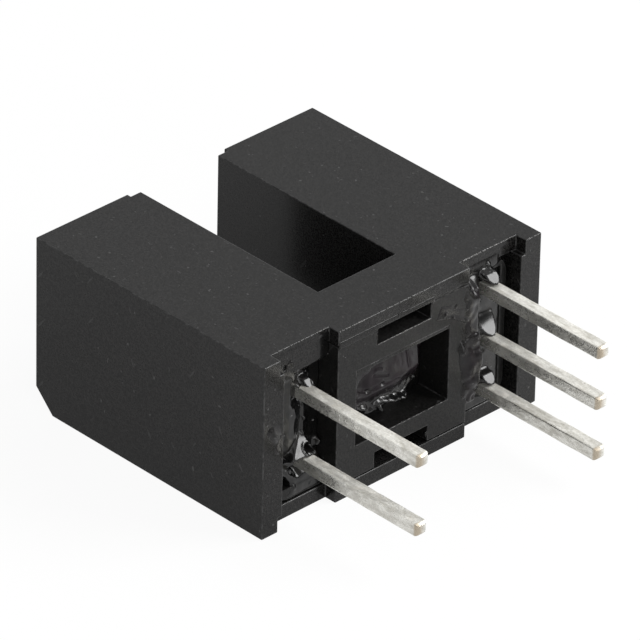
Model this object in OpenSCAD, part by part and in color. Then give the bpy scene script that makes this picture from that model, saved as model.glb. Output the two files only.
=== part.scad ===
// Slotted optical sensor for a circuit board, lying on one of its broad sides.
// A U-shaped outer housing that lets infrared light through takes an opaque holder.
// The holder has a bay in each arm: one for the emitter package, one for the detector.
// X runs from the arm tips to the leads, Y from the emitter to the detector, Z up.
// The origin is on the surface it lies on, under the middle of its length and width.

/* [Slot] */
// Width of the slot that the target passes through
slot_width = 3.4; // [2.4:0.1:6]
// Depth of the slot, from the arm tips to its root
slot_depth = 8.4; // [7.4:0.1:11]

/* [Housing walls] */
// Wall of each broad side
broad_wall = 0.55; // [0.35:0.05:0.9]
// Wall at each outer end
end_wall = 0.88; // [0.5:0.02:1.4]
// Wall of each arm towards the slot
slot_wall = 0.7; // [0.4:0.05:1.2]
// Wall at the root of the slot
root_wall = 0.7; // [0.4:0.05:1.2]
// Wall at the tip of each arm
tip_wall = 0.8; // [0.5:0.05:1.4]

/* [Housing details] */
// Chamfer between the arm tips and the broad side that it lies on
tip_chamfer = 0.8; // [0.2:0.05:1]
// How far the inner edge of each arm tip stands back
tip_step_depth = 0.16; // [0.05:0.01:0.3]
// Width of that stepped edge
tip_step_width = 0.43; // [0.1:0.01:0.6]
// How far the rim stands back beside the feet
foot_height = 0.45; // [0.1:0.05:0.6]
// Width of the foot at each outer end
end_foot_width = 0.7; // [0.4:0.05:1.2]

/* [Holder] */
// Gap between the holder and the housing, on each side
holder_gap = 0.05; // [0.02:0.01:0.1]
// Depth of the centre block, behind the slot root
block_depth = 1.45; // [1.1:0.05:2.5]
// Gap between each bay and the end wall of the housing
end_gap = 0.17; // [0.02:0.01:0.3]
// Wall with the apertures, between a package and the housing
aperture_wall = 0.44; // [0.3:0.02:0.8]
// Outer wall and end wall of each bay
bay_wall = 0.25; // [0.2:0.05:0.6]
// Wall of the detector bay towards each broad side
bay_side_wall = 0.32; // [0.2:0.02:0.6]
// Radius of the outer corners of each bay
bay_corner = 0.6; // [0.1:0.05:0.8]
// How far the bays end behind the seating plane
bay_setback = 0.5; // [0.3:0.05:0.9]
// Width of the window in the centre block
window_width = 4.1; // [2.5:0.1:4.8]
// Height of the window in the centre block
window_height = 2.8; // [1.8:0.1:3.4]
// Width of the notch above and below the window
notch_width = 2.36; // [1:0.02:4]
// Height of each notch
notch_height = 0.58; // [0.2:0.02:0.8]

/* [Apertures] */
// Length of both apertures, along the slot's depth
aperture_length = 1.5; // [0.8:0.1:2.2]
// Width of the aperture in front of the emitter
emitter_aperture = 1.2; // [0.4:0.05:2]
// Width of the slit in front of the detector
detector_slit = 0.3; // [0.15:0.05:0.8]

/* [Packages] */
// Gap between a package and its bay, on each side
package_gap = 0.03; // [0.01:0.01:0.08]
// Thickness of a package behind its lens
package_thickness = 1.5; // [1.3:0.05:2.2]
// Length of a package
package_length = 5.6; // [4.6:0.1:6.2]
// Resin of the emitter package beside each lead
emitter_margin = 0.65; // [0.1:0.05:0.75]
// Resin of the detector package beside each outer lead
detector_margin = 0.12; // [0.06:0.02:0.4]
// Height of the lens on a package
lens_height = 0.35; // [0.2:0.05:0.6]
// Radius of the lens where it meets the package
lens_radius = 1.15; // [0.8:0.05:1.4]
// Distance of the lens centre from the end of the package
lens_from_end = 1.5; // [1.45:0.05:2.2]

/* [Leads] */
// Length of the leads beyond the seating plane
lead_length = 5; // [2:0.1:12]
// Width of a lead
lead_width = 0.46; // [0.3:0.02:0.6]
// Thickness of the lead frames
lead_thickness = 0.46; // [0.2:0.02:0.5]
// Chamfer round the tip of a lead
lead_tip = 0.08; // [0.02:0.01:0.14]
// Distance between the two emitter leads
emitter_pitch = 2.54; // [2.1:0.02:2.8]
// Distance between neighbouring detector leads
detector_pitch = 1.9; // [1.7:0.02:1.96]
// Depth of the lead frames behind the face of a package
lead_inset = 0.48; // [0.44:0.02:0.9]

/* [Chips] */
// Side of the light-emitting chip
emitter_chip_side = 0.36; // [0.2:0.02:0.5]
// Side of the light-sensing chip
detector_chip_side = 1.2; // [1:0.05:1.4]
// Thickness of both chips
chip_thickness = 0.2; // [0.1:0.02:0.28]
// Side of the pad that carries the light-emitting chip
emitter_pad = 0.9; // [0.6:0.05:1]
// Side of the pad that carries the light-sensing chip
detector_pad = 1.5; // [1.44:0.02:1.6]
// Gap between a pad and the post beside it
pad_gap = 0.15; // [0.08:0.01:0.2]
// Height of a post's arm, beside the pad
post_size = 0.6; // [0.4:0.05:0.8]
// Thickness of a bond wire
wire_size = 0.05; // [0.03:0.01:0.08]
// Radius of the loop of a bond wire
wire_loop = 0.38; // [0.34:0.01:0.4]
// Distance of each bond from the edge of the light-sensing chip
bond_inset = 0.15; // [0.1:0.01:0.2]

/* [Potting] */
// How far the potting stands below the end of a bay
potting_recess = 0.18; // [0.05:0.01:0.4]
// Radius of the meniscus round a lead, at its foot
meniscus_radius = 0.75; // [0.5:0.05:0.95]
// Radius of the meniscus at its top
meniscus_top = 0.34; // [0.1:0.02:0.45]
// Height of the meniscus
meniscus_height = 0.4; // [0.1:0.02:0.6]
// Half the width of the ridge of resin between the leads
ridge_reach = 0.5; // [0.2:0.05:0.9]
// Height of that ridge
ridge_height = 0.22; // [0.05:0.01:0.4]
// Depth of the sealant in the window, on the emitter side
sealant_high = 0.85; // [0.5:0.05:1.2]
// Depth of the sealant in the window, on the detector side
sealant_low = 0.25; // [0.15:0.05:0.8]
// Radius of the hollow in the sealant
dish_radius = 2.2; // [1.5:0.1:4]
// Depth of the hollow in the sealant, below its middle
dish_depth = 0.3; // [0.1:0.05:0.4]

/* [Hidden] */
$fn = 48;

// Cutting solids run this far past what they cut
over = 1;

// Places along Y, from the middle of the slot outwards
slot_face = slot_width / 2;
arm_inner = slot_face + slot_wall;
holder_inner = arm_inner + holder_gap;
bay_inner = holder_inner + aperture_wall;
package_front = bay_inner + package_gap + lens_height;
lead_front = package_front + lead_inset;
package_back = package_front + package_thickness;
bay_outer = package_back + package_gap;
holder_outer = bay_outer + bay_wall;
arm_outer = holder_outer + end_gap;
body_end = arm_outer + end_wall;

// Places along X, from the arm tips towards the leads
bay_start = tip_wall + holder_gap;
bay_floor = bay_start + bay_wall;
package_start = bay_floor + package_gap;
package_end = package_start + package_length;
optic_x = package_start + lens_from_end;
root_inner = slot_depth + root_wall;
block_start = root_inner + holder_gap;
seat = block_start + block_depth;
bay_end = seat - bay_setback;
potting_face = bay_end - potting_recess;
lead_end = seat + lead_length;

// Heights
emitter_width = emitter_pitch + lead_width + 2 * emitter_margin;
detector_width = 2 * detector_pitch + lead_width + 2 * detector_margin;
detector_bay = detector_width + 2 * package_gap;
emitter_bay = emitter_width + 2 * package_gap;
holder_height = detector_bay + 2 * bay_side_wall;
cavity_height = holder_height + 2 * holder_gap;
body_thickness = cavity_height + 2 * broad_wall;
middle = body_thickness / 2;

// A box given by its two ends along X, two along Y, and its height about the middle
module slab(x_low, x_high, y_low, y_high, height) {
  translate([x_low, y_low, middle - height / 2])
    cube([x_high - x_low, y_high - y_low, height]);
}

// Moves the model to its origin
module placed() {
  translate([-lead_end / 2, 0, 0]) children();
}

// Moves a shape that is drawn on the detector side to the emitter side
module emitter_side() {
  mirror([0, 1, 0]) children();
}

module both_sides() {
  children();
  emitter_side() children();
}

// An outline in the XZ plane as a plate that reaches from one Y to a further one
module plate(y_low, y_high) {
  translate([0, y_high, 0]) rotate([90, 0, 0]) linear_extrude(y_high - y_low) children();
}

// Outer housing

module housing() {
  color("#2a2a2c") placed() difference() {
    plate(-body_end, body_end) housing_side();
    slab(-over, slot_depth, -slot_face, slot_face, body_thickness + 2 * over);
    both_sides() housing_cavity();
    slab(root_inner, seat + over, -bay_inner, bay_inner, cavity_height);
    both_sides() tip_step();
    both_sides() rim_cuts();
  }
}

module housing_side() {
  polygon([
    [tip_chamfer, 0], [seat, 0], [seat, body_thickness],
    [0, body_thickness], [0, tip_chamfer]
  ]);
}

module housing_cavity() {
  slab(tip_wall, seat + over, arm_inner, arm_outer, cavity_height);
}

module tip_step() {
  slab(-over, tip_step_depth, slot_face - over, slot_face + tip_step_width,
    body_thickness + 2 * over);
}

// The broad sides stand back between the feet
module rim_cuts() {
  foot_inside = body_end - end_foot_width;
  for (base = [-over, body_thickness - broad_wall])
    translate([seat - foot_height, bay_inner, base])
      cube([foot_height + over, foot_inside - bay_inner, broad_wall + over]);
}

// Opaque holder

module aperture_holder() {
  color("#1d1d1f") placed() difference() {
    union() {
      slab(block_start, seat, -bay_inner, bay_inner, holder_height);
      both_sides() bay_tube();
    }
    slab(bay_floor, seat + over, bay_inner, bay_outer, detector_bay);
    emitter_side() slab(bay_floor, seat + over, bay_inner, bay_outer, emitter_bay);
    aperture(detector_slit);
    emitter_side() aperture(emitter_aperture);
    slab(block_start - over, seat + over, -window_width / 2, window_width / 2, window_height);
    holder_notches();
  }
}

// A bay as a tube along X, with its two outer corners rounded
module bay_tube() {
  depth = holder_outer - holder_inner;
  low = middle - holder_height / 2;
  translate([bay_start, 0, 0]) rotate([90, 0, 90]) linear_extrude(bay_end - bay_start) {
    translate([holder_inner, low]) square([depth - bay_corner, holder_height]);
    translate([holder_inner, low + bay_corner]) square([depth, holder_height - 2 * bay_corner]);
    for (side = [-1, 1])
      translate([holder_outer - bay_corner, middle + side * (holder_height / 2 - bay_corner)])
        circle(bay_corner);
  }
}

module aperture(width) {
  slab(optic_x - aperture_length / 2, optic_x + aperture_length / 2,
    holder_inner - over, bay_inner + over / 2, width);
}

module holder_notches() {
  difference() {
    slab(block_start - over, seat + over, -notch_width / 2, notch_width / 2,
      holder_height + 2 * over);
    slab(block_start - 2 * over, seat + 2 * over, -notch_width, notch_width,
      holder_height - 2 * notch_height);
  }
}

// Packages, drawn on the detector side

module package_block(width) {
  slab(package_start, package_end, package_front, package_back, width);
  lens();
}

// A dome on the face towards the slot
module lens() {
  ball = (pow(lens_radius, 2) + pow(lens_height, 2)) / (2 * lens_height);
  intersection() {
    translate([optic_x, package_front - lens_height + ball, middle]) sphere(ball);
    slab(optic_x - lens_radius, optic_x + lens_radius,
      package_front - lens_height, package_front, 2 * lens_radius);
  }
}

module emitter_package() {
  color("#39424f") placed() emitter_side() difference() {
    package_block(emitter_width);
    cathode_frame();
    anode_frame();
    chip_block(emitter_chip_side);
    anode_loop();
  }
}

module detector_package() {
  color("#22242a") placed() difference() {
    package_block(detector_width);
    ground_frame();
    post_frame(1);
    post_frame(-1);
    chip_block(detector_chip_side);
    signal_loop(1);
    signal_loop(-1);
  }
}

// Lead frames, drawn on the detector side

// A straight lead centred at one height, with a chamfered tip
module lead_blade(height, start) {
  intersection() {
    plate(lead_front, lead_front + lead_thickness)
      blade_outline(start, height, lead_width);
    translate([0, lead_front + lead_thickness / 2, height - lead_width])
      linear_extrude(2 * lead_width) blade_outline(start, 0, lead_thickness);
  }
}

module blade_outline(start, across, size) {
  polygon([
    [start, across - size / 2], [lead_end - lead_tip, across - size / 2],
    [lead_end, across - size / 2 + lead_tip], [lead_end, across + size / 2 - lead_tip],
    [lead_end - lead_tip, across + size / 2], [start, across + size / 2]
  ]);
}

// A flat piece of lead frame, given by its ends along X and along Z
module frame_patch(x_low, x_high, z_low, z_high) {
  translate([x_low, lead_front, z_low])
    cube([x_high - x_low, lead_thickness, z_high - z_low]);
}

// The pad under a chip, centred on the optical axis
module pad(side) {
  frame_patch(optic_x - side / 2, optic_x + side / 2, middle - side / 2, middle + side / 2);
}

// An upper lead that carries the pad of the emitter
module cathode_frame() {
  height = middle + emitter_pitch / 2;
  lead_blade(height, optic_x);
  pad(emitter_pad);
  frame_patch(optic_x - emitter_pad / 2, optic_x + emitter_pad / 2,
    middle, height + lead_width / 2);
}

// A lower lead that ends in a post beside the pad
module anode_frame() {
  height = middle - emitter_pitch / 2;
  lead_blade(height, optic_x);
  frame_patch(optic_x - post_size / 2, optic_x + post_size / 2,
    height - lead_width / 2, middle - emitter_pad / 2 - pad_gap);
}

// The middle lead, which carries the pad of the detector
module ground_frame() {
  lead_blade(middle, optic_x);
  pad(detector_pad);
}

// An outer lead that ends in a post beside the pad; side is 1 above and -1 below
module post_frame(side) {
  reach = detector_pad / 2 + pad_gap;
  outside = detector_pitch + lead_width / 2;
  lead_blade(middle + side * detector_pitch, optic_x);
  frame_patch(optic_x - post_size / 2, optic_x + post_size / 2,
    middle + min(side * reach, side * outside), middle + max(side * reach, side * outside));
}

module anode_lead() {
  color("#d4d0c8") placed() emitter_side() anode_frame();
}

module cathode_lead() {
  color("#d4d0c8") placed() emitter_side() cathode_frame();
}

module supply_lead() {
  color("#d4d0c8") placed() post_frame(1);
}

module ground_lead() {
  color("#d4d0c8") placed() ground_frame();
}

module output_lead() {
  color("#d4d0c8") placed() post_frame(-1);
}

// Chips and bond wires, drawn on the detector side

module chip_block(side) {
  slab(optic_x - side / 2, optic_x + side / 2,
    lead_front - chip_thickness, lead_front, side);
}

// Half a ring that stands on the lead frame, from a bond on the chip out to a post
module wire_arch(bond, side) {
  reach = sqrt(pow(wire_loop, 2) - pow(chip_thickness, 2));
  intersection() {
    translate([optic_x, lead_front, middle + side * (bond + reach)]) rotate([0, 90, 0])
      rotate_extrude() translate([wire_loop, 0]) circle(d = wire_size);
    slab(optic_x - over, optic_x + over, lead_front - over, lead_front, body_thickness);
  }
}

module anode_loop() {
  difference() {
    wire_arch(0, -1);
    chip_block(emitter_chip_side);
  }
}

module signal_loop(side) {
  difference() {
    wire_arch(detector_chip_side / 2 - bond_inset, side);
    chip_block(detector_chip_side);
  }
}

module emitter_chip() {
  color("#8d6f9a") placed() emitter_side() chip_block(emitter_chip_side);
}

module detector_chip() {
  color("#5f7486") placed() chip_block(detector_chip_side);
}

module anode_wire() {
  color("#e3c15a") placed() emitter_side() anode_loop();
}

module supply_wire() {
  color("#e3c15a") placed() signal_loop(1);
}

module output_wire() {
  color("#e3c15a") placed() signal_loop(-1);
}

// Potting behind a package, with resin drawn up along the leads at these heights
module potting(bay, heights) {
  centre = lead_front + lead_thickness / 2;
  intersection() {
    slab(package_end, seat, bay_inner, bay_outer, bay);
    union() {
      slab(package_end, potting_face, bay_inner, bay_outer, bay);
      resin_ridge(centre, max(heights) - min(heights));
      for (height = heights)
        translate([potting_face, centre, height]) rotate([0, 90, 0]) meniscus();
    }
  }
}

// Resin drawn up round a lead, standing in the potting
module meniscus() {
  rotate_extrude() polygon([
    [0, -potting_recess], [meniscus_radius, -potting_recess], [meniscus_radius, 0],
    [meniscus_top, meniscus_height], [0, meniscus_height]
  ]);
}

// A low ridge from the highest lead to the lowest
module resin_ridge(centre, span) {
  translate([0, 0, middle - span / 2]) linear_extrude(span) polygon([
    [potting_face - potting_recess, centre - ridge_reach], [potting_face, centre - ridge_reach],
    [potting_face + ridge_height, centre], [potting_face, centre + ridge_reach],
    [potting_face - potting_recess, centre + ridge_reach]
  ]);
}

module emitter_potting() {
  rise = emitter_pitch / 2;
  color("#151517") placed() emitter_side() difference() {
    potting(emitter_bay, [middle - rise, middle + rise]);
    cathode_frame();
    anode_frame();
  }
}

module detector_potting() {
  color("#151517") placed() difference() {
    potting(detector_bay, [middle - detector_pitch, middle, middle + detector_pitch]);
    ground_frame();
    post_frame(1);
    post_frame(-1);
  }
}

// Sealant in the window, deeper on the emitter side and hollow in the middle
module window_sealant() {
  half = window_width / 2;
  color("#151517") placed() difference() {
    translate([0, 0, middle - window_height / 2]) linear_extrude(window_height) polygon([
      [root_inner, -half], [root_inner + sealant_high, -half],
      [root_inner + sealant_low, half], [root_inner, half]
    ]);
    translate([root_inner + (sealant_high + sealant_low) / 2 - dish_depth + dish_radius, 0, middle])
      sphere(dish_radius);
  }
}

housing();
aperture_holder();
emitter_package();
detector_package();
anode_lead();
cathode_lead();
supply_lead();
ground_lead();
output_lead();
emitter_chip();
detector_chip();
anode_wire();
supply_wire();
output_wire();
emitter_potting();
detector_potting();
window_sealant();
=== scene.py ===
import math
import random
import bpy
import bmesh
from mathutils import Matrix, Vector, noise


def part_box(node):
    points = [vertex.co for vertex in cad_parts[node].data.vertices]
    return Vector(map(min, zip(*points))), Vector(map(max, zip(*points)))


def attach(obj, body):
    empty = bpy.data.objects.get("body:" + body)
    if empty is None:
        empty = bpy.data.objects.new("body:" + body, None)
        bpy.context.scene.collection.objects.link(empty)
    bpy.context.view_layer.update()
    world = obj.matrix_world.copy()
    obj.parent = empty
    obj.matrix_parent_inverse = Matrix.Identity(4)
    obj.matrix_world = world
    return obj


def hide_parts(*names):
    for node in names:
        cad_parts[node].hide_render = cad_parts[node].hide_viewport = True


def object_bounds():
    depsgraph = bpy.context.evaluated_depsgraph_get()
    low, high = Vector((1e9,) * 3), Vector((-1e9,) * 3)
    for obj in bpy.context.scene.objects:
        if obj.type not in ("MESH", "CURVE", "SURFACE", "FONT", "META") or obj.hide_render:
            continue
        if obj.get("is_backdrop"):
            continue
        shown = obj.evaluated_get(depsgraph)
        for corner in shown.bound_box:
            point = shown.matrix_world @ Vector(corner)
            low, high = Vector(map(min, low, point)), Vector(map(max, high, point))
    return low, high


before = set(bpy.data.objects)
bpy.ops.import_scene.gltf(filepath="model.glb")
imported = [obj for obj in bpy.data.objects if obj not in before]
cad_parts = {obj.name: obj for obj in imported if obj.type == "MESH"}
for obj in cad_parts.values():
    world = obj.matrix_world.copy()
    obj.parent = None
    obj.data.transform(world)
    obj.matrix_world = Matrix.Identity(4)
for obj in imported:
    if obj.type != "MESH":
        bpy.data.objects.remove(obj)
cadLow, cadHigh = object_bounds()
mm = 0.001
scene = bpy.context.scene
randomSeed = 5
noise.seed_set(randomSeed)  # else noise_vector has another offset in each run


# materials

class Wire:  # one socket of a material, with maths on it
    def __init__(self, finish, socket):
        self.finish = finish
        self.socket = socket

    def maths(self, operation, *values):
        sockets = dict(enumerate(values))
        return self.finish.node("Math", {"operation": operation}, sockets)

    def __add__(self, other):
        return self.maths("ADD", self, other)

    __radd__ = __add__

    def __sub__(self, other):
        return self.maths("SUBTRACT", self, other)

    def __rsub__(self, other):
        return self.maths("SUBTRACT", other, self)

    def __mul__(self, other):
        return self.maths("MULTIPLY", self, other)

    __rmul__ = __mul__


class Finish:  # a material, or another tree, that is built from nodes
    def __init__(self, name, tree=None):
        if tree is None:
            self.material = bpy.data.materials.new(name)
            self.material.use_nodes = True
            tree = self.material.node_tree
        self.tree = tree
        self.tree.nodes.clear()

    def node(self, kind, settings=None, sockets=None, output=0):
        made = self.tree.nodes.new("ShaderNode" + kind)
        for name, value in (settings or {}).items():
            setattr(made, name, value)
        for name, value in (sockets or {}).items():
            if isinstance(value, Wire):
                self.tree.links.new(value.socket, made.inputs[name])
            else:
                made.inputs[name].default_value = value
        return Wire(self, made.outputs[output]) if made.outputs else None

    def place(self):  # the place on the object, in millimetres
        point = self.node("TexCoord", output="Object")
        return self.node("VectorMath", {"operation": "SCALE"}, {0: point, "Scale": 1000.0})

    def stretched(self, point, factors, turn=(0, 0, 0)):
        turned = self.node("Mapping", {"vector_type": "POINT"}, {"Vector": point, "Rotation": turn})
        return self.node("VectorMath", {"operation": "MULTIPLY"}, {0: turned, 1: factors})

    def grain(self, point, scale, detail=3.0, roughness=0.5):  # scale in marks per millimetre
        return self.node("TexNoise", None, {
            "Vector": point, "Scale": scale, "Detail": detail, "Roughness": roughness,
        })

    def step(self, value, low, high):  # 0 below low, 1 above high
        return self.node("MapRange", {"interpolation_type": "SMOOTHSTEP"}, {
            "Value": value, "From Min": low, "From Max": high,
        })

    def mix(self, mask, first, second):
        return self.node("Mix", {"data_type": "RGBA"}, {0: mask, 6: first, 7: second}, output=2)

    def bump(self, height, strength, distance):
        return self.node("Bump", None, {
            "Height": height, "Strength": strength, "Distance": distance * mm,
        })

    def mark(self, name):  # an attribute of the mesh
        return self.node("Attribute", {"attribute_name": name}, output="Fac")

    def shader(self, **sockets):
        named = {name.replace("_", " "): value for name, value in sockets.items()}
        return self.node("BsdfPrincipled", None, named)

    def close(self, shader):
        self.node("OutputMaterial", None, {"Surface": shader})
        return self.material


def grey(value, warmth=0.0):
    return (value * (1 + warmth), value, value * (1 - warmth), 1)


plastic = {  # scales in marks per millimetre, relief in millimetres
    "dark": 0.0010, "light": 0.0150, "pale": 0.07, "rubbedPaintedHighlight": 0.05, "gloss": 0.20, "level": 0.175,
    "grainScale": 16.0, "speckScale": 6.5, "hairScale": 1.2, "rubbedPaintedHighlightScale": 5.0,
    "speckShare": 0.6, "hairShare": 0.3, "rubbedPaintedHighlightShare": 0.8, "relief": 0.006,
    "hairTurns": ((0.4, 0.9, 0.3), (1.9, 0.2, 2.1)),
}


def plasticShader(finish, point, values):  # fine grain, a few specks and hairs, and rubbed edges that are lightened, partly as wear and partly as a painted highlight
    fine = finish.grain(point, values["grainScale"], 3.0, 0.8)
    speck = finish.step(finish.grain(point, values["speckScale"], 0.0), 0.825, 0.87)
    hairs = 0.0
    for turn in values["hairTurns"]:
        along = finish.grain(finish.stretched(point, (1.0, 6.0, 6.0), turn), values["hairScale"], 0.0)
        hairs = finish.step(along, 0.82, 0.85) + hairs
    patchy = finish.step(finish.grain(point, values["rubbedPaintedHighlightScale"], 3.0), 0.45, 0.6)
    # the bevelled edges are lightened: partly rubbed wear, partly a painted highlight
    edge = finish.mark("edge") * (0.35 + 0.65 * patchy)
    base = finish.mix(finish.step(fine, 0.35, 0.65), grey(values["dark"]), grey(values["light"], 0.03))
    base = finish.mix(speck * values["speckShare"], base, grey(values["pale"]))
    base = finish.mix(hairs * values["hairShare"], base, grey(values["pale"]))
    base = finish.mix(edge * values["rubbedPaintedHighlightShare"], base, grey(values["rubbedPaintedHighlight"]))
    rough = values["gloss"] + 0.06 * (fine - 0.5)
    height = fine + 0.5 * speck + 0.5 * hairs
    return finish.shader(
        Base_Color=base, Roughness=rough, Specular_IOR_Level=values["level"],
        Normal=finish.bump(height, 0.10, values["relief"]),
    )


def plasticFinish(name, values):
    finish = Finish(name)
    return finish.close(plasticShader(finish, finish.place(), values))


potting = {
    "colour": 0.004, "dust": 0.15, "gloss": 0.18, "level": 0.38,
    "flux": (0.0110, 0.0080, 0.0100, 1), "fluxGloss": 0.12, "fluxLevel": 0.10,
}


def resinFinish(name, values):  # glossy where wet, dull with flux, and like the plastic where it is dry
    finish = Finish(name)
    point = finish.place()
    fine = finish.grain(point, 14.0, 3.0)
    dust = finish.step(finish.grain(point, 8.0, 0.0), 0.80, 0.83)
    film = finish.step(finish.grain(point, 1.5, 3.0), 0.52, 0.75)
    flux = finish.mark("flux") * (0.45 + 0.55 * finish.step(finish.grain(point, 2.5, 3.0), 0.3, 0.6))
    base = finish.mix(film, grey(values["colour"]), grey(values["colour"] * 2.0, 0.1))
    base = finish.mix(dust * 0.6, base, grey(values["dust"]))
    rough = values["gloss"] + 0.10 * film + 0.06 * (fine - 0.5)
    ripple = finish.bump(finish.grain(point, 2.2, 2.0), 0.05, 0.03)
    wet = finish.shader(Base_Color=base, Roughness=rough, Specular_IOR_Level=values["level"], Normal=ripple)
    stain = finish.mix(film, values["flux"], tuple(0.4 * v for v in values["flux"]))
    stained = finish.shader(
        Base_Color=stain, Roughness=rough + values["fluxGloss"], Specular_IOR_Level=values["fluxLevel"],
        Normal=ripple,
    )
    wet = finish.node("MixShader", None, {0: flux, 1: wet, 2: stained})
    dry = plasticShader(finish, point, plastic)
    return finish.close(finish.node("MixShader", None, {0: finish.mark("dry"), 1: wet, 2: dry}))


plating = {
    "shade": (0.50, 0.485, 0.435, 1), "light": (0.84, 0.83, 0.78, 1), "bright": (0.90, 0.89, 0.85, 1),
    "grain": (0.50, 0.49, 0.45, 1), "dull": (0.5, 0.47, 0.43, 1), "pit": (0.22, 0.19, 0.17, 1),
    # side is a painted shade for the faces that do not face up
    "side": (0.42, 0.41, 0.375, 1), "cut": (0.36, 0.30, 0.22, 1),
    "metal": 0.80, "gloss": 0.22, "relief": 0.02,
}


def tinFinish(name, values):  # uneven plating, rougher on its upper side, with painted shade on its other sides, and bare metal at the cut end
    finish = Finish(name)
    point = finish.place()
    along = finish.grain(finish.stretched(point, (0.3, 1.0, 1.0)), 5.0, 5.0, 0.65)
    lumps = finish.grain(point, 3.0, 4.0, 0.6)
    fine = finish.grain(point, 12.0, 4.0)
    dull = finish.step(finish.grain(point, 1.9, 4.0, 0.6), 0.5, 0.72)
    pit = finish.step(finish.grain(point, 6.0, 1.0), 0.74, 0.80)
    cut = finish.mark("cut")
    wornTopPaintedShadeSides = finish.mark("wornTopPaintedShadeSides")
    blotch = finish.step(finish.grain(finish.stretched(point, (0.6, 1.0, 1.0)), 7.0, 4.0, 0.7), 0.38, 0.62)
    base = finish.mix(finish.step(along, 0.36, 0.64), values["shade"], values["light"])
    base = finish.mix(blotch * 0.4, base, values["bright"])
    base = finish.mix(finish.step(fine, 0.42, 0.58) * 0.3, base, values["grain"])
    base = finish.mix(dull * 0.35, base, values["dull"])
    base = finish.mix(pit * 0.4, base, values["pit"])
    # painted shade: faces that do not face up are darkened towards the side colour
    base = finish.mix((1 - wornTopPaintedShadeSides) * 0.25, base, values["side"])
    base = finish.mix(cut * 0.85, base, values["cut"])
    rough = values["gloss"] + 0.24 * wornTopPaintedShadeSides + 0.18 * dull + 0.3 * (fine - 0.5) + 0.14 * (1 - blotch)
    height = lumps * 0.7 + blotch * 0.3 + along * 0.9 + fine * 0.5
    return finish.close(finish.shader(
        Base_Color=base, Metallic=values["metal"], Roughness=rough,
        Normal=finish.bump(height, 0.5, values["relief"]),
    ))


def clearFinish(name, colour):  # the moulded epoxy of the packages
    finish = Finish(name)
    point = finish.place()
    swirl = finish.grain(point, 1.5, 3.0)
    base = finish.mix(swirl, tuple(0.8 * v for v in colour) + (1,), tuple(1.2 * v for v in colour) + (1,))
    return finish.close(finish.shader(
        Base_Color=base, Roughness=0.12 + 0.1 * finish.grain(point, 9.0),
        Normal=finish.bump(swirl, 0.1, 0.02),
    ))


def dieFinish(name):
    finish = Finish(name)
    point = finish.place()
    lines = finish.node("TexVoronoi", {"feature": "DISTANCE_TO_EDGE"}, {"Vector": point, "Scale": 9.0})
    base = finish.mix(finish.step(lines, 0.02, 0.05), (0.6, 0.55, 0.4, 1), (0.13, 0.15, 0.22, 1))
    rough = 0.2 + 0.15 * finish.grain(point, 20.0)
    return finish.close(finish.shader(Base_Color=base, Metallic=0.4, Roughness=rough))


def goldFinish(name):
    finish = Finish(name)
    drawn = finish.grain(finish.place(), 30.0)
    base = finish.mix(drawn, (0.75, 0.55, 0.2, 1), (0.9, 0.7, 0.32, 1))
    return finish.close(finish.shader(Base_Color=base, Metallic=1.0, Roughness=0.2 + 0.15 * drawn))


housingPlastic = plasticFinish("housingPlastic", plastic)
holderPlastic = plasticFinish("holderPlastic", dict(plastic, light=0.0145, gloss=0.35))
resin = resinFinish("pottingResin", potting)
tin = tinFinish("tinPlating", plating)
print("materials made")


# shapes

def shown(shape, name, material, slot, *nodes):  # makes an object of a bmesh that stands for nodes
    mesh = bpy.data.meshes.new(name)
    bmesh.ops.recalc_face_normals(shape, faces=shape.faces)
    shape.to_mesh(mesh)
    shape.free()
    mesh.materials.append(material)
    piece = bpy.data.objects.new(name, mesh)
    scene.collection.objects.link(piece)
    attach(piece, "root")
    if nodes:
        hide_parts(*nodes)
    return piece


def merged(nodeName):  # the node's mesh as whole faces
    shape = bmesh.new()
    shape.from_mesh(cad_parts[nodeName].data)
    bmesh.ops.remove_doubles(shape, verts=shape.verts, dist=0.0005 * mm)
    bmesh.ops.dissolve_limit(shape, angle_limit=math.radians(0.5), verts=shape.verts, edges=shape.edges)
    return shape


def sharpEdges(shape, degrees):
    return [e for e in shape.edges if e.is_manifold and e.calc_face_angle() > math.radians(degrees)]


def rounded(shape, radius, segments, degrees=40):  # rounds the sharp edges and marks them
    edge = shape.faces.layers.float.new("edge")
    result = bmesh.ops.bevel(
        shape, geom=sharpEdges(shape, degrees), offset=radius * mm, segments=segments,
        affect="EDGES", profile=0.5, material=-1, clamp_overlap=True,
    )
    for face in result["faces"]:
        face[edge] = 1.0
    return shape


def smooth(value):
    value = min(max(value, 0.0), 1.0)
    return value * value * (3 - 2 * value)


def ramp(value, low, high):
    return smooth((value - low) / (high - low))


# faces of the part, in millimetres: along x, and then along z
footFace, housingRim, holderRim = 2.80, 2.35, 2.30
topFace, holderTop = 6.40, 5.82

housingSkin = {"edge": 0.035, "segments": 3}  # radius in millimetres
holderSkin = {"edge": 0.03, "segments": 2}

shape = rounded(merged("housing"), housingSkin["edge"], housingSkin["segments"])
bmesh.ops.triangulate(shape, faces=shape.faces)
shown(shape, "housing_skin", housingPlastic, "housing", "housing")

shape = rounded(merged("aperture_holder"), holderSkin["edge"], holderSkin["segments"])
bmesh.ops.triangulate(shape, faces=shape.faces)
shown(shape, "holder_skin", holderPlastic, "holder", "aperture_holder")
print("housing and holder made")

# the flash grains are paler than the plastic: partly scuffing, partly a painted highlight
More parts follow.
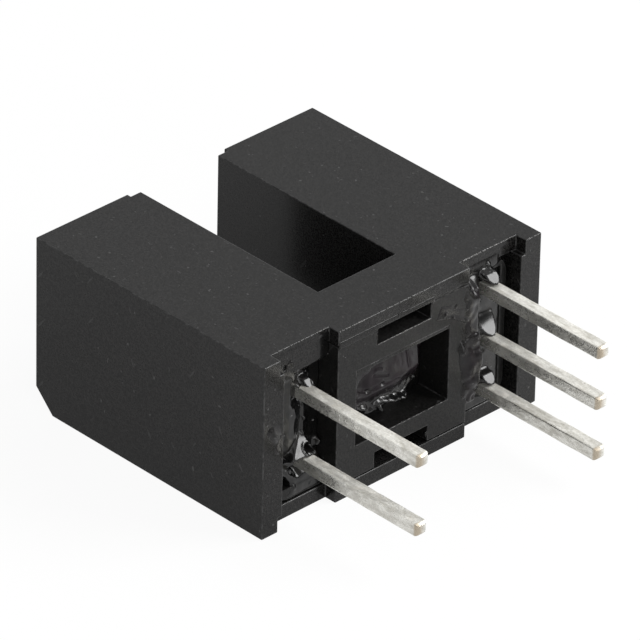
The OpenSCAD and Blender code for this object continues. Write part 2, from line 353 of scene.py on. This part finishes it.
flashFinish = plasticFinish("scuffedPaintedHighlightPlastic", dict(plastic, dark=0.02, light=0.12, gloss=0.25, level=0.5))
flash = {  # its lines: from, to, spacing, thickness and length of the grains; all in millimetres
    "sizes": (0.5, 1.2), "lengths": (0.4, 1.0), "wobble": 0.012, "wobbleScale": 14.0,
    "lines": [
        ((housingRim, -5.16, topFace), (housingRim, -3.50, topFace), 0.17, 0.022, 0.05),
        ((housingRim, -3.50, topFace), (housingRim, -2.98, topFace), 0.10, 0.018, 0.08),
        ((footFace, -2.86, topFace), (footFace, -2.50, topFace), 0.12, 0.020, 0.06),
        ((footFace, -2.50, topFace), (footFace, -1.50, topFace), 0.07, 0.020, 0.09),
        ((footFace, -0.90, topFace), (footFace, 1.60, topFace), 0.19, 0.013, 0.09),
        ((housingRim, 2.95, topFace), (housingRim, 4.10, topFace), 0.09, 0.022, 0.08),
        ((housingRim, 4.10, topFace), (housingRim, 5.10, topFace), 0.18, 0.020, 0.08),
        ((footFace, 5.42, topFace), (footFace, 6.00, topFace), 0.20, 0.022, 0.06),
        ((footFace, -1.16, 5.22), (footFace, 1.16, 5.22), 0.06, 0.018, 0.07),
        ((footFace, -1.18, 5.24), (footFace, -1.18, 5.78), 0.12, 0.010, 0.05),
        ((footFace, -2.85, 5.60), (footFace, -2.60, 5.35), 0.14, 0.020, 0.03),
        ((footFace, -1.50, 1.80), (footFace, 2.00, 1.80), 0.13, 0.012, 0.09),
    ],
}
chance = random.Random(randomSeed)
shape = bmesh.new()
for start, end, spacing, thick, length in flash["lines"]:
    start, end = Vector(start), Vector(end)
    for number in range(round((end - start).length / spacing)):
        share = (number + chance.uniform(0.1, 0.9)) * spacing / (end - start).length
        size = chance.uniform(*flash["sizes"])
        grain = Matrix.LocRotScale(
            start.lerp(end, min(share, 1.0)) * mm, (end - start).to_track_quat("Z", "X"),
            Vector((thick * size, thick * size, length * chance.uniform(*flash["lengths"]))) * mm,
        )
        bmesh.ops.create_icosphere(shape, subdivisions=2, radius=1.0, matrix=grain)
for vert in shape.verts:
    vert.co += noise.noise_vector(vert.co / mm * flash["wobbleScale"]) * flash["wobble"] * mm
for face in shape.faces:
    face.smooth = True
shown(shape, "edge_flash", flashFinish, "housing")
print("flash made")

leadSkin = {  # all in millimetres, apart from the segments; cut is how far the bare metal reaches
    "edge": 0.045, "segments": 2, "first": 2.9, "step": 0.25, "last": 0.3, "cut": 0.17,
    "wobble": 0.012, "wobbleScale": 1.6, "wobbleFrom": 2.0,
}


def sliced(shape, place):  # cuts the faces where they cross a plane across x
    everything = list(shape.verts) + list(shape.edges) + list(shape.faces)
    bmesh.ops.bisect_plane(shape, geom=everything, plane_co=(place, 0, 0), plane_no=(1, 0, 0))


for index, node in enumerate(("anode_lead", "cathode_lead", "supply_lead", "ground_lead", "output_lead")):
    shape = merged(node)
    low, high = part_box(node)
    rounded(shape, leadSkin["edge"], leadSkin["segments"])
    place = leadSkin["first"] * mm
    while place < high.x - leadSkin["last"] * mm:
        sliced(shape, place)
        place += leadSkin["step"] * mm
    cutStart = high.x - leadSkin["cut"] * mm
    sliced(shape, cutStart)
    for vert in shape.verts:
        if vert.co.x > leadSkin["wobbleFrom"] * mm:
            probe = vert.co / mm * leadSkin["wobbleScale"] + Vector((7.0 * index, 0, 0))
            vert.co += noise.noise_vector(probe) * leadSkin["wobble"] * mm
    bmesh.ops.triangulate(shape, faces=shape.faces)
    cut = shape.verts.layers.float.new("cut")
    for vert in shape.verts:
        near = ramp(vert.co.x, cutStart, high.x - 0.1 * mm)
        vert[cut] = near * ramp((low.y + high.y) / 2 - vert.co.y, -0.1 * mm, 0.1 * mm)
    # how far each face faces up: rougher there, and painted shade on the other faces
    wornTopPaintedShadeSides = shape.faces.layers.float.new("wornTopPaintedShadeSides")
    for face in shape.faces:
        face.normal_update()
        face[wornTopPaintedShadeSides] = ramp(face.normal.z, 0.3, 0.8)
    shown(shape, node + "_skin", tin, "lead", node)
print("leads made")


# resin: its lead side is sculpted as a height x above the plane of y and z, all in millimetres

def slide(value, low, high):  # an even slope from 0 to 1
    return min(max((value - low) / (high - low), 0.0), 1.0)


def bell(distance, width):
    return math.exp(-(distance / width) ** 2)


def lumps(y, z, scale, layer):
    return noise.noise(Vector((y * scale, z * scale, layer)))


def stroke(y, z, start, end, widths, heights):  # a lump or ridge, or a groove where heights are negative
    along = Vector(end) - Vector(start)
    reach = along.length_squared
    place = Vector((y, z)) - Vector(start)
    share = min(max(place.dot(along) / reach, 0), 1) if reach else 0
    distance = (place - share * along).length
    width = widths[0] + share * (widths[-1] - widths[0])
    height = heights[0] + share * (heights[-1] - heights[0])
    return height * bell(distance, width)


def crater(y, z, middle, radius, depth, rim, rimWidth=0.03):  # a round dent with a raised rim
    inside = (Vector((y, z)) - Vector(middle)).length / radius
    outside = math.hypot(y - middle[0], z - middle[1]) - (radius + rimWidth)
    return depth * math.sqrt(max(1 - inside * inside, 0)) + rim * bell(outside, rimWidth)


def facet(y, z, middle, radii, height, bend=1.0, soft=0.12):  # an oval slope that faces up
    across, up = (y - middle[0]) / radii[0], (z - middle[1]) / radii[1]
    side = 1 - slide(math.hypot(across, up), 1.0, 1.0 + soft)
    return height * slide(-up, -1, 1) ** bend * side


def wedge(y, z, apex, base, halves, height, bend=1.0, soft=0.06):  # a slope that faces up to its apex
    share = (apex[1] - z) / (apex[1] - base[1])
    if not 0 < share < 1.6:
        return 0.0
    part = min(share, 1)
    middle = apex[0] + (base[0] - apex[0]) * part
    half = halves[0] + (halves[1] - halves[0]) * part
    side = ramp(half - abs(y - middle), -soft / 2, soft)
    return height * part ** bend * side * (1 if share < 1 else 1 - (share - 1) / 0.6)


def lifted(x, level, height):  # lifts x towards the level of a facet, where there is one
    return x + max(level + height - x, 0) * ramp(height, 0, 0.10)


def tilted(x, y, z, middle, level, radii, slopes, soft=0.5):  # lays an oval part of the surface at a slope
    across, up = (y - middle[0]) / radii[0], (z - middle[1]) / radii[1]
    share = 1 - ramp(math.hypot(across, up), 1 - soft, 1)
    return x + (level + slopes[0] * (y - middle[0]) + slopes[1] * (z - middle[1]) - x) * share


def fillet(y, z, middle, height, reach, lean, half=0.23):  # resin drawn up a lead, most on its upper face
    dy = max(abs(y - middle[0]) - half, 0)
    dz = max(abs(z - middle[1]) - half, 0)
    out = math.hypot(dy, dz)
    upward = math.copysign(dz / out, z - middle[1]) if out > 0 else 0
    return height * (1 - lean * (1 - upward) / 2) * math.exp(-out / reach)


def plane(y, z, step):  # a grid of faces across y and z, in the plane x = 0
    shape = bmesh.new()
    across, up = y[1] - y[0], z[1] - z[0]
    bmesh.ops.create_grid(shape, x_segments=round(across / step), y_segments=round(up / step), size=0.5)
    turn = Matrix(((0, 0, 1, 0), (1, 0, 0, 0), (0, 1, 0, 0), (0, 0, 0, 1)))
    size = Matrix.Diagonal((across * mm, up * mm, 1, 1))
    bmesh.ops.transform(shape, matrix=turn @ size, verts=shape.verts)
    middle = Vector((0, (y[0] + y[1]) / 2, (z[0] + z[1]) / 2)) * mm
    bmesh.ops.translate(shape, vec=middle, verts=shape.verts)
    return shape


def resinBlock(name, node, values, surface, step=0.06):  # fills a bay up to just under its surface
    shape = plane(values["y"], values["z"], step)
    rim = [e for e in shape.edges if e.is_boundary]
    sides = bmesh.ops.extrude_edge_only(shape, edges=rim)["geom"]
    low = {item for item in sides if isinstance(item, bmesh.types.BMVert)}
    for vert in shape.verts:
        if vert in low:
            vert.co.x = values["back"] * mm
        else:
            vert.co.x = (surface(vert.co.y / mm, vert.co.z / mm) - values["under"]) * mm
    for face in shape.faces:
        face.smooth = not any(vert in low for vert in face.verts)
    bmesh.ops.holes_fill(shape, edges=[e for e in shape.edges if e.is_boundary])
    return shown(shape, name, resin, "potting", node)


def resinFilm(name, values, surface, ground, marks):  # the skin of the resin, where it wets the part
    shape = plane(values["y"], values["z"], values["step"])
    gone = []
    for face in shape.faces:
        middle = face.calc_center_median() / mm
        below = ground(middle.y, middle.z)
        if below is None or surface(middle.y, middle.z) < below - values["sunk"]:
            gone.append(face)
    bmesh.ops.delete(shape, geom=gone, context="FACES")
    for vert in shape.verts:
        vert.co.x = surface(vert.co.y / mm, vert.co.z / mm) * mm
    for face in shape.faces:
        face.smooth = True
    made = bmesh.ops.extrude_face_region(shape, geom=list(shape.faces), use_keep_orig=True)["geom"]
    lower = [item for item in made if isinstance(item, bmesh.types.BMVert)]
    bmesh.ops.translate(shape, vec=(-values["thick"] * mm, 0, 0), verts=lower)
    for mark, share in marks.items():
        layer = shape.verts.layers.float.new(mark)
        for vert in shape.verts:
            vert[layer] = share(vert.co.y / mm, vert.co.z / mm)
    return shown(shape, name, resin, "potting")


emitterResin = {
    "y": (-4.80, -2.89), "z": (1.02, 5.38), "back": -1.05, "under": 0.08, "level": 2.29,
    "leads": [((-3.98, 4.47), 0.24), ((-3.98, 1.93), 0.44)], "reach": 0.15, "lean": 1.6,
    "falls": [  # along z: where the fall towards the middle begins, along y
        (1.2, -4.10), (1.9, -4.45), (2.4, -4.55), (2.7, -4.30), (3.7, -4.27), (4.3, -4.50), (5.0, -4.45),
    ],
    "facets": [((-3.85, 4.81), (0.16, 0.17), 0.34)],  # middle, radii, height
    "wedges": [((-3.82, 2.94), (-4.18, 2.22), (0.02, 0.54), 0.54, 1.2, 0.05)], "wedgeDrop": 0.14,
    "strokes": [  # from, to, widths, heights
        ((-4.34, 5.06), (-4.34, 5.06), (0.12,), (0.06,)),
        ((-4.40, 5.37), (-3.98, 5.20), (0.035, 0.03), (0.025, 0.02)),
        ((-4.79, 5.72), (-4.78, 5.60), (0.04, 0.035), (-0.18, -0.16)),
        ((-4.66, 5.78), (-4.53, 5.80), (0.035, 0.035), (0.04, 0.04)),
        ((-4.53, 5.80), (-4.46, 5.62), (0.035, 0.035), (0.04, 0.04)),
        ((-4.25, 3.86), (-4.22, 3.55), (0.03, 0.025), (0.03, 0.02)),
        ((-3.74, 3.74), (-3.76, 3.30), (0.05, 0.05), (0.06, 0.09)),
        ((-3.76, 3.30), (-3.82, 2.86), (0.05, 0.07), (0.09, 0.14)),
        ((-2.96, 2.06), (-3.00, 1.92), (0.10, 0.08), (0.22, 0.16)),
        ((-3.40, 3.50), (-3.36, 3.30), (0.16, 0.12), (0.08, 0.04)),
        ((-4.66, 2.05), (-4.05, 1.42), (0.16, 0.14), (-0.16, -0.16)),
        ((-4.72, 1.24), (-4.60, 1.08), (0.16, 0.16), (-0.60, -0.60)),
        ((-4.26, 1.04), (-4.24, 0.94), (0.05, 0.045), (0.06, 0.05)),
    ],
    "craters": [  # middle, radius, depth, height of the rim
        ((-3.60, 4.70), 0.115, -0.34, 0.05),
        ((-3.88, 2.37), 0.165, -0.42, 0.05),
    ],
}
emitterFilm = {
    "y": (-6.02, -2.90), "z": (0.68, 6.38), "step": 0.031, "sunk": 0.02, "thick": 0.05, "rim": 2.366,
}


def footPatch(y, z):  # how far inside the smear on the emitter's foot a place is
    reach = 0.36 - math.hypot((y + 5.64 + 0.20 * (z - 3.85)) / 0.8, (z - 3.75) / 2.2)
    return reach + 0.22 * lumps(y, z, 1.8, 54.0)


def onFoot(y, z):
    return y < (-5.19 if z < 5.83 else -5.38)


def fallStart(z):  # where the resin of the emitter begins to fall towards the middle
    places = emitterResin["falls"]
    for (low, first), (high, second) in zip(places, places[1:]):
        if z < high:
            return first + (second - first) * slide(z, low, high)
    return places[-1][1]


def emitterSurface(y, z):
    values = emitterResin
    if onFoot(y, z):
        smear = stroke(y, z, (-5.80, 3.92), (-5.50, 3.60), (0.14, 0.12), (0.10, 0.09))
        return 2.775 + 0.040 * ramp(footPatch(y, z), -0.05, 0.25) + 0.016 * lumps(y, z, 2.6, 57.0) + smear
    top = ramp(z, 4.95, 5.4)
    x = values["level"] + (emitterFilm["rim"] - values["level"]) * top
    x -= 0.035 * ramp(z, 6.15, 6.36)
    deep = ramp(z, 1.25, 1.6) * (1 - top)
    first = fallStart(z)
    x -= (0.22 * slide(y, first, first + 0.50) + 0.14 * slide(y, -3.70, -3.35)) * deep
    x += 0.03 * (1 - ramp(z, 0.98, 1.08))
    x -= 0.25 * max(-4.5 - y, 0) * (1 - top)
    for lead, drawn in values["leads"]:
        x += fillet(y, z, lead, drawn, values["reach"], values["lean"])
    for f in values["facets"]:
        x = lifted(x, values["level"], facet(y, z, *f))
    for w in values["wedges"]:
        x = lifted(x, values["level"] - values["wedgeDrop"], wedge(y, z, *w))
    for s in values["strokes"]:
        x += stroke(y, z, *s)
    for c in values["craters"]:
        x += crater(y, z, *c)
    return x + (0.02 * lumps(y, z, 1.3, 3.0) + 0.016 * lumps(y, z, 3.6, 5.0)) * (1 - 0.8 * top)


def emitterGround(y, z):  # the x of the part under the film, or None where the film ends
    bayLow, bayHigh = emitterResin["z"]
    if onFoot(y, z):
        return footFace
    if y < emitterResin["y"][0]:
        return holderRim if z > 5.36 + 0.05 * lumps(y, z, 3.0, 61.0) else None
    if z < bayHigh:
        return 0.0 if z > bayLow else holderRim
    return holderRim if z < holderTop else housingRim


detectorResin = {
    "y": (2.89, 4.80), "z": (0.92, 5.48), "back": -1.05, "under": 0.08, "level": 2.36,
    "leads": [(3.98, 5.10), (3.98, 3.20), (3.98, 1.30)], "drawn": 0.20, "reach": 0.19, "lean": 1.3,
    "facets": [  # level, middle, radii, height, bend
        (2.58, (4.00, 5.60), (0.24, 0.22), 0.40, 1.4),
        (2.34, (3.98, 3.92), (0.35, 0.50), 0.56, 1.9),
        (2.56, (4.00, 1.80), (0.24, 0.22), 0.36, 1.4),
    ],
    "streakLevel": 2.64,
    "streaks": [((3.36, 3.84), (0.09, 0.22), 0.24, 1.3, 0.5), ((3.32, 2.06), (0.09, 0.30), 0.26, 1.6, 0.5)],
    "glints": [((2.60, 3.55), 2.90, (0.11, 0.34), (0.62, -0.37), 0.5)],  # middle, level, radii, slopes
    "strokes": [  # from, to, widths, heights
        ((4.10, 5.84), (4.10, 5.76), (0.08, 0.07), (0.12, 0.10)),
        ((3.42, 4.92), (3.55, 4.58), (0.045, 0.04), (-0.09, -0.08)),
        ((3.55, 4.58), (3.80, 4.64), (0.04, 0.04), (-0.08, -0.06)),
        ((3.56, 4.86), (3.60, 4.74), (0.05, 0.05), (0.07, 0.07)),
        ((3.40, 2.92), (3.60, 2.52), (0.045, 0.04), (-0.08, -0.08)),
        ((3.60, 2.52), (4.06, 2.62), (0.04, 0.05), (-0.08, -0.07)),
        ((3.10, 3.36), (3.78, 3.10), (0.14, 0.12), (-0.05, -0.10)),
        ((3.20, 1.40), (4.10, 1.00), (0.12, 0.10), (-0.08, -0.10)),
        ((3.12, 5.88), (3.14, 5.78), (0.12, 0.10), (0.12, 0.12)),
        ((3.20, 5.54), (3.16, 5.44), (0.13, 0.13), (-0.14, -0.12)),
        ((1.28, 5.86), (2.92, 5.82), (0.035, 0.035), (0.03, 0.04)),
        ((2.32, 5.22), (2.30, 5.18), (0.06, 0.05), (0.05, 0.04)),
        ((1.81, 5.08), (1.78, 5.05), (0.06, 0.05), (0.05, 0.04)),
        ((1.42, 5.04), (2.15, 4.84), (0.05, 0.05), (0.02, 0.035)),
        ((2.15, 4.84), (2.78, 4.46), (0.05, 0.07), (0.035, 0.06)),
    ],
    "craters": [((4.26, 1.60), 0.06, -0.22, 0.0)],
    "stains": [  # of flux: middle, radii, share
        ((3.12, 3.36), (0.34, 0.26), 1.0),
        ((3.35, 1.45), (0.50, 0.24), 1.0),
        ((3.55, 2.24), (0.30, 0.20), 0.8),
        ((3.26, 5.30), (0.24, 0.18), 0.8),
        ((2.72, 1.90), (0.20, 0.55), 0.8),
        ((2.80, 4.30), (0.22, 0.30), 1.0),
        ((2.95, 2.60), (0.36, 2.10), 0.75),
    ],
}
detectorFilm = {"y": (1.10, 4.80), "z": (0.64, 6.30), "step": 0.034, "sunk": 0.02, "thick": 0.05}
window = {"y": (-2.05, 2.05), "z": (1.80, 4.60)}  # the two openings of the block between the bays
notch = {"y": (-1.18, 1.18), "z": (5.22, holderTop)}


def opening(y, z, hole):
    return hole["y"][0] < y < hole["y"][1] and hole["z"][0] < z < hole["z"][1]


def detectorGround(y, z):
    if opening(y, z, window) or opening(y, z, notch):
        return None
    if opening(y, z, detectorResin):
        return 0.0
    if y < detectorResin["y"][0]:
        return footFace
    return housingRim if z > holderTop else holderRim


def wetted(y, z):  # how far inside the smear on the block beside the bay a place is
    wave = 0.10 * lumps(y, z, 1.6, 41.0)
    middle = 5.36 - 0.42 * (y - 1.3)
    start = y - 1.50 + 0.40 * lumps(y, z, 1.3, 47.0)
    smear = min(0.34 - abs(z - middle), start) + 1.5 * wave + 0.10 * lumps(y, z, 3.5, 43.0)
    corner = min(y - 2.47, z - 1.30, 5.95 - z) + 0.4 * wave
    return max(smear, 0.5 * corner)


def bulge(y, z):  # the thick drop over the corner of the block, from 0 at its edge to 1
    across, up = (y - 3.30) / 0.78, (z - 2.92 + 0.35 * (y - 2.9)) / 1.08
    return max(1 - across * across - up * up, 0) ** (0.5 + 0.5 * ramp(3.1 - z, 0, 0.6))


def detectorSurface(y, z):
    values = detectorResin
    inside = min(y - 2.80, values["y"][1] - y, z - values["z"][0], values["z"][1] - z)
    block = 2.775 + 0.040 * ramp(wetted(y, z), -0.05, 0.22) + 0.20 * bulge(y, z)
    rim = 2.375 - 0.10 * ramp(y, 4.5, 4.9) - 0.06 * ramp(z, 5.95, 6.2)
    near = (1 - slide(y, 3.30, 3.76)) * (ramp(z, 0.95, 1.3) if y > values["y"][0] else 1)
    bay = values["level"] + 0.02 * lumps(y, z, 1.4, 13.0)
    x = rim + (bay - rim) * ramp(inside, -0.04, 0.2) * (1 - near)
    x += (block + 0.04 * slide(y, 2.84, 3.3) - x) * near * (1 - ramp(z, 5.4, 5.75) * ramp(y, 2.87, 3.0))
    x -= 0.12 * slide(y, 3.3, 3.76) * ramp(z, 4.9, 5.1) * (1 - ramp(z, 5.5, 5.7))
    creased = ramp(y, 2.5, 2.9) * (1 - ramp(y, 3.7, 4.0)) * ramp(z, 1.0, 1.4) * ramp(5.6 - z, 0, 0.4)
    x += (0.09 * lumps(y, z, 1.9, 91.0) + 0.035 * lumps(y, z, 4.0, 93.0)) * creased
    for lead in values["leads"]:
        x += fillet(y, z, lead, values["drawn"], values["reach"], values["lean"])
    for level, *f in values["facets"]:
        x = lifted(x, level, facet(y, z, *f))
    for s in values["streaks"]:
        x = lifted(x, values["streakLevel"], facet(y, z, *s))
    for g in values["glints"]:
        x = tilted(x, y, z, *g)
    for s in values["strokes"]:
        x += stroke(y, z, *s)
    for c in values["craters"]:
        x += crater(y, z, *c)
    return x + 0.010 * lumps(y, z, 3.0, 18.0)


windowResin = {
    "y": window["y"], "z": window["z"], "back": 1.3, "under": 0.06, "corner": 0.5, "floor": 1.50,
    "strokes": [
        ((-0.92, 4.02), (-0.66, 3.94), (0.06, 0.05), (0.05, 0.04)),
        ((-1.02, 3.86), (-0.40, 3.66), (0.045, 0.04), (-0.05, -0.04)),
        ((-1.88, 3.66), (-1.30, 3.40), (0.08, 0.08), (-0.05, -0.06)),
        ((-1.30, 3.40), (-0.65, 3.42), (0.08, 0.07), (-0.06, -0.06)),
        ((-0.65, 3.42), (0.12, 3.28), (0.07, 0.06), (-0.06, -0.05)),
        ((0.20, 4.42), (0.26, 3.80), (0.07, 0.06), (-0.03, -0.02)),
        ((0.58, 4.20), (0.66, 3.50), (0.07, 0.06), (-0.03, -0.02)),
        ((-1.95, 3.00), (-1.35, 2.72), (0.12, 0.10), (0.18, 0.16)),
        ((-0.80, 2.66), (-0.74, 2.50), (0.10, 0.09), (0.26, 0.26)),
        ((-0.60, 2.74), (0.25, 2.52), (0.09, 0.08), (0.20, 0.20)),
        ((0.36, 2.50), (1.00, 2.66), (0.08, 0.06), (0.22, 0.16)),
        ((1.16, 2.66), (1.24, 2.94), (0.04, 0.03), (0.06, 0.03)),
    ],
}
windowFilm = {"y": (-2.30, 2.04), "z": (1.82, 5.02), "step": 0.03, "sunk": 0.02, "thick": 0.05}


def windowSurface(y, z):
    face = footFace
    left, top = y - window["y"][0], 4.32 - z
    corner = windowResin["corner"]
    if left < corner and top < corner:
        inside = corner - math.hypot(corner - left, corner - top)
    else:
        inside = min(left, top)
    fade = ramp(y, -1.55, -1.15)
    brim = 1 - slide(inside, 0.0, 0.30)
    x = face - 0.012 - 0.36 * (1 - brim) * (1 - fade) - 0.30 * fade + 0.12 * max(4.2 - z, 0) * (1 - brim)
    x += (face - 0.01 - x) * ramp(-inside, -0.02, 0.04) * (1 - fade)
    x -= 0.26 * ramp(3.40 - z, 0, 0.6)
    x -= 0.24 * ramp(y, -0.2, 1.3) + 0.80 * ramp(y, 1.12, 1.50)
    for s in windowResin["strokes"]:
        x += stroke(y, z, *s)
    edge = bell(z - 2.62 - 0.12 * ramp(y, -0.5, 1.0), 0.22) * ramp(1.2 - y, 0, 0.3)
    x += (0.10 * lumps(y, z, 2.6, 33.0) + 0.06 * lumps(y, z, 5.5, 35.0)) * edge
    lip = 2.50 + 0.30 * ramp(-1.2 - y, 0, 0.6) + 0.2 * ramp(y, 0.3, 0.9) + 0.06 * lumps(y, z, 2.0, 37.0)
    x -= 0.9 * ramp(lip - z, 0, 0.14) * (1 - ramp(y, 1.2, 1.5))
    x = max(x, windowResin["floor"]) + 0.02 * lumps(y, z, 1.4, 23.0) + 0.008 * lumps(y, z, 4.0, 28.0)
    bridge = ramp(z, 4.41, 4.46)
    return x + (face - 0.008 - x) * bridge


def windowGround(y, z):
    if opening(y, z, window):
        return 0.0
    near = y < 0.6 and z > 3.4 and (y < -2.0 or z > 4.55)
    return footFace if near and lumps(y, z, 2.0, 71.0) > -0.2 else None


def emitterDry(y, z):
    upper = ramp(z, 5.1, 5.35) * ramp(-3.25 - y, 0, 0.15)
    return max(upper, ramp(-5.16 - y, 0, 0.04) * (0.5 + 0.4 * ramp(z, 4.4, 5.0)))


def emitterFlux(y, z):
    return 0.3 * ramp(-5.2 - y, 0, 0.2)


def detectorDry(y, z):
    block = ramp(2.95 - y, 0, 0.2) * (1 - ramp(bulge(y, z), 0, 0.3)) * 0.8
    return max(block, ramp(z, 5.7, 5.95) * 0.8 * ramp(abs(y - 3.12), 0.15, 0.3))


def detectorFlux(y, z):
    share = ramp(2.85 - y, 0, 0.3) * ramp(wetted(y, z) * (y < 2.6) + 0.1, 0, 0.2) * ramp(z, 4.2, 4.5)
    for middle, radii, most in detectorResin["stains"]:
        distance = math.hypot((y - middle[0]) / radii[0], (z - middle[1]) / radii[1])
        share = max(share, most * bell(distance, 1.0))
    return share


def windowDry(y, z):
    return max(ramp(z, 4.3, 4.5) * 0.95, 0.15 * ramp(z, 2.9, 3.3))


def windowFlux(y, z):
    return ramp(z, 2.8, 3.2) * (1 - ramp(z, 4.3, 4.5)) * ramp(y, -2.1, -1.7)


resinBlock("emitter_resin_body", "emitter_potting", emitterResin, emitterSurface)
marks = {"dry": emitterDry, "flux": emitterFlux}
resinFilm("emitter_resin_skin", emitterFilm, emitterSurface, emitterGround, marks)
resinBlock("detector_resin_body", "detector_potting", detectorResin, detectorSurface)
marks = {"dry": detectorDry, "flux": detectorFlux}
resinFilm("detector_resin_skin", detectorFilm, detectorSurface, detectorGround, marks)
resinBlock("window_resin_body", "window_sealant", windowResin, windowSurface)
marks = {"dry": windowDry, "flux": windowFlux}
resinFilm("window_resin_skin", windowFilm, windowSurface, windowGround, marks)


seamFilm = {"y": (-2.87, 1.34), "z": (5.68, 6.02), "step": 0.034, "sunk": 0.0, "thick": 0.03}


def seamSurface(y, z):  # a thin dry film over the seam above the notch
    inside = min(y + 2.87, z - 5.70, 6.0 - z) + 0.03 * lumps(y, z, 2.5, 81.0)
    return 2.793 + 0.02 * ramp(inside, -0.05, 0.1)


def seamGround(y, z):
    return None if opening(y, z, notch) else footFace


resinFilm("seam_resin_skin", seamFilm, seamSurface, seamGround, {"dry": lambda y, z: 1.0})
print("resin made")

inner = {
    "emitter_package": clearFinish("emitterEpoxy", (0.12, 0.16, 0.24)),
    "detector_package": clearFinish("detectorEpoxy", (0.03, 0.03, 0.035)),
    "emitter_chip": dieFinish("emitterDie"),
    "detector_chip": dieFinish("detectorDie"),
    "anode_wire": goldFinish("anodeGold"),
    "supply_wire": goldFinish("supplyGold"),
    "output_wire": goldFinish("outputGold"),
}
for node, material in inner.items():
    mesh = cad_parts[node].data
    mesh.materials.clear()
    mesh.materials.append(material)
print("inner pieces finished")


# studio

studio = {
    "floorSize": 4.0, "floorDrop": 0.01, "floorColour": 0.85, "whiteShare": 0.93, "mirroredShare": 0.62,
    "paintedLightSide": 0.5, "paintedLightFrom": (3.0, 8.0),  # a painted brighter strip of floor, seen only in reflections; its places on the floor in millimetres
    # a painted shade: far along x the floor, as seen in reflections, is darkened
    "paintedShadeFarShare": 0.15, "paintedShadeFarFrom": (18.0, 60.0),
    "worldLight": 0.5, "horizonLight": 0.08, "horizon": (0.08, 0.42), "frontSide": (-0.2, 0.3),
    "cameraPlace": (0.16645, -0.16430, 0.15002), "cameraTurn": (58.075, -1.071, 46.213),
    "lens": 486.4, "sensor": 36, "clip": (0.01, 10),
}
lights = [
    {
        "name": "backLight", "towards": (0.53, 0.59, 0.61), "distance": 0.4,
        "size": (0.22, 0.22), "power": 1.8,
    },
    {
        "name": "frontLight", "towards": (0.84, -0.36, 0.36), "distance": 0.4,
        "size": (0.12, 0.40), "power": 0.6,
    },
]
mirrorRays = ("Is Glossy Ray", "Is Transmission Ray")

floorFinish = Finish("paleFloor")
seen = studio["whiteShare"] * floorFinish.node("LightPath", output="Is Camera Ray")
for ray in mirrorRays:
    seen = seen + studio["mirroredShare"] * floorFinish.node("LightPath", output=ray)
matt = floorFinish.node("BsdfDiffuse", None, {"Color": grey(studio["floorColour"])})
along = floorFinish.node("SeparateXYZ", None, {"Vector": floorFinish.place()}, output="X")
across = floorFinish.node("SeparateXYZ", None, {"Vector": floorFinish.place()}, output="Y")
glossy = floorFinish.node("LightPath", output="Is Glossy Ray")
# painted shade: in reflections the floor is darker far along x
paintedShadeFar = glossy * floorFinish.step(along, *studio["paintedShadeFarFrom"])
# painted light: in reflections the floor glows brighter on its +y side
glow = 1 + studio["paintedLightSide"] * glossy * floorFinish.step(across, *studio["paintedLightFrom"])
glow = glow * (1 - (1 - studio["paintedShadeFarShare"]) * paintedShadeFar)
white = floorFinish.node("Emission", None, {"Color": grey(1.0), "Strength": glow})
mixed = floorFinish.node("MixShader", None, {0: seen, 1: matt, 2: white})
floorFinish.node("OutputMaterial", None, {"Surface": mixed})

shape = bmesh.new()
bmesh.ops.create_grid(shape, x_segments=1, y_segments=1, size=studio["floorSize"] / 2)
drop = (0.0, 0.0, -studio["floorDrop"] * mm)  # clear of the underside
bmesh.ops.translate(shape, vec=drop, verts=shape.verts)
mesh = bpy.data.meshes.new("floor")
shape.to_mesh(mesh)
shape.free()
mesh.materials.append(floorFinish.material)
floor = bpy.data.objects.new("floor", mesh)
scene.collection.objects.link(floor)
floor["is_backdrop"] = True

world = bpy.data.worlds.new("studioWorld")
scene.world = world
world.use_nodes = True
sky = Finish("sky", world.node_tree)
height = sky.node("SeparateXYZ", None, {"Vector": sky.node("TexCoord", output="Generated")}, output="Z")
front = sky.node("SeparateXYZ", None, {"Vector": sky.node("TexCoord", output="Generated")}, output="X")
dark = (1 - sky.step(height, *studio["horizon"])) * sky.step(front, *studio["frontSide"])
mirrored = 1 - (1 - studio["horizonLight"]) * dark
strength = studio["worldLight"] + (1 - studio["worldLight"]) * sky.node("LightPath", output="Is Camera Ray")
for ray in mirrorRays:
    strength = strength + (mirrored - studio["worldLight"]) * sky.node("LightPath", output=ray)
background = sky.node("Background", None, {"Color": grey(1.0), "Strength": strength})
sky.node("OutputWorld", None, {"Surface": background})

centre = (cadLow + cadHigh) / 2
for light in lights:
    lamp = bpy.data.lights.new(light["name"], "AREA")
    lamp.shape = "RECTANGLE"
    lamp.size, lamp.size_y = light["size"]
    lamp.energy = light["power"]
    lampObject = bpy.data.objects.new(light["name"], lamp)
    towards = Vector(light["towards"]).normalized()
    lampObject.location = centre + towards * light["distance"]
    lampObject.rotation_euler = towards.to_track_quat("Z", "Y").to_euler()
    scene.collection.objects.link(lampObject)

cameraData = bpy.data.cameras.new("camera")
cameraData.lens = studio["lens"]
cameraData.sensor_width = studio["sensor"]
cameraData.clip_start, cameraData.clip_end = studio["clip"]
camera = bpy.data.objects.new("camera", cameraData)
camera.location = studio["cameraPlace"]
camera.rotation_euler = [math.radians(angle) for angle in studio["cameraTurn"]]
scene.collection.objects.link(camera)
scene.camera = camera
scene.view_settings.view_transform = "Standard"
print("studio made")

low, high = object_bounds()
